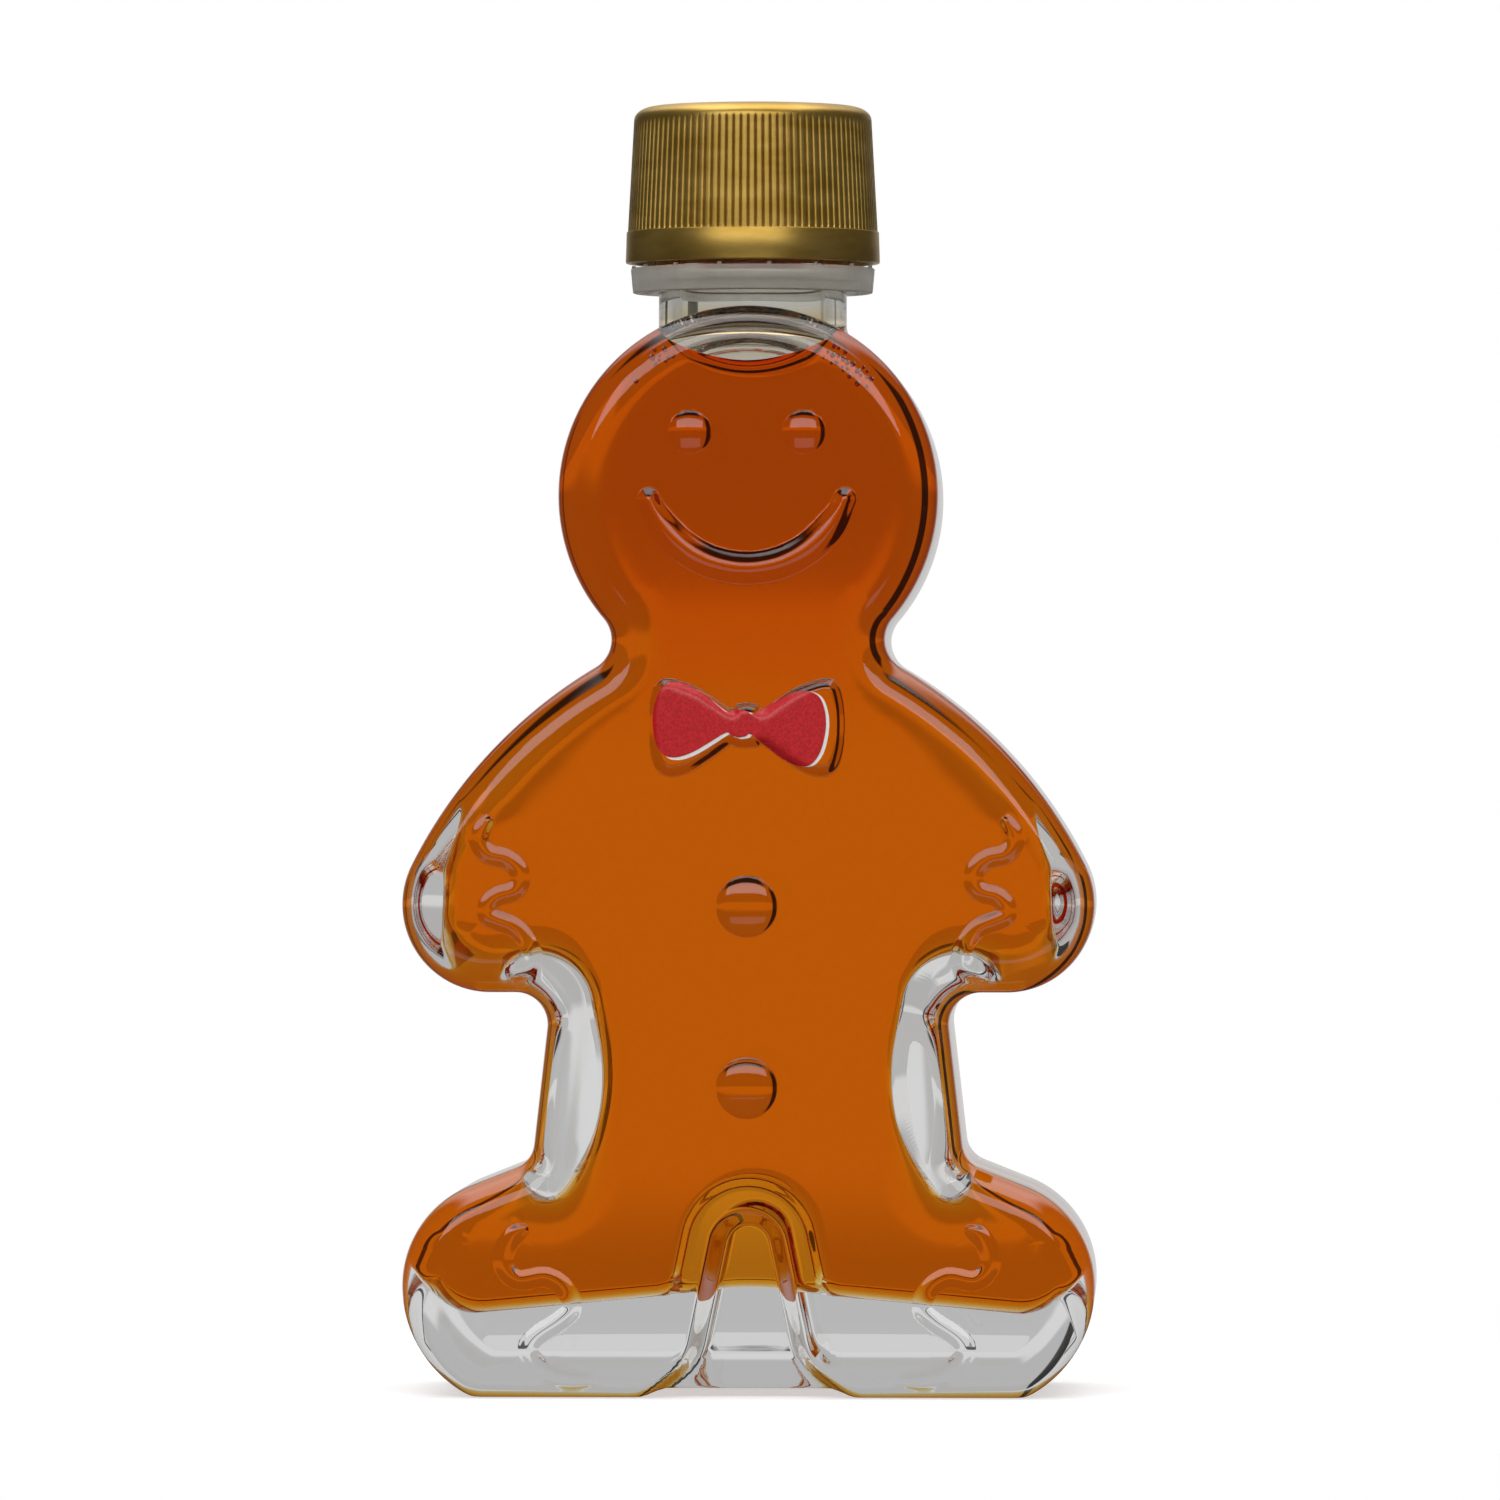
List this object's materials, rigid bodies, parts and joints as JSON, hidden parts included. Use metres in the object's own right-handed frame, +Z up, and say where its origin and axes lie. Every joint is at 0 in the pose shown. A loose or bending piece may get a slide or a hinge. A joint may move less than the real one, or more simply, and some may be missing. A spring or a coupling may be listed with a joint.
{
  "type": "syrup bottle",
  "caption": "Flat-faced clear glass bottle shaped as a gingerbread man with a bow tie, filled with amber syrup, with a ribbed gold screw cap and a tamper band.",
  "frame": {"origin": "on the floor, under the middle of the bottle between its flat faces", "axes": "+Z up through the neck, the face and bow tie look along -Y, +X to the viewer's right"},
  "size_m": [0.0866, 0.0414, 0.162],
  "materials": {
    "clear_glass": "clear, polished",
    "amber_syrup": "clear amber liquid",
    "white_ink": "fired ink",
    "red_ink": "fired ink, slight gloss",
    "gold_plastic": "satin metallic gold",
    "liner_foam": "soft, matt",
    "pale_plastic": "translucent, satin"
  },
  "bodies": {
    "bottle": {"bottle_glass": "clear_glass", "syrup": "amber_syrup", "bow_tie_white": "white_ink", "bow_tie_red": "red_ink"},
    "liner": {"cap_liner": "liner_foam"},
    "cap": {"screw_cap": "gold_plastic"},
    "band": {"tamper_band": "pale_plastic"}
  },
  "joints": [
    {"name": "cap_lift", "type": "slide", "parent": "bottle", "child": "liner", "axis": [0, 0, 1], "range_m": [0, 0.0191]},
    {"name": "cap_turn", "type": "hinge", "parent": "liner", "child": "cap", "pos_m": [0, 0, 0.152], "axis": [0, 0, 1], "range_deg": [0, 1620]},
    {"name": "band_spin", "type": "hinge", "parent": "bottle", "child": "band", "pos_m": [0, 0, 0.14], "axis": [0, 0, 1], "continuous": true}
  ],
  "couplings": [
    {"joint": "cap_lift", "follows": "cap_turn", "m_per_rad": 0.0006737}
  ]
}
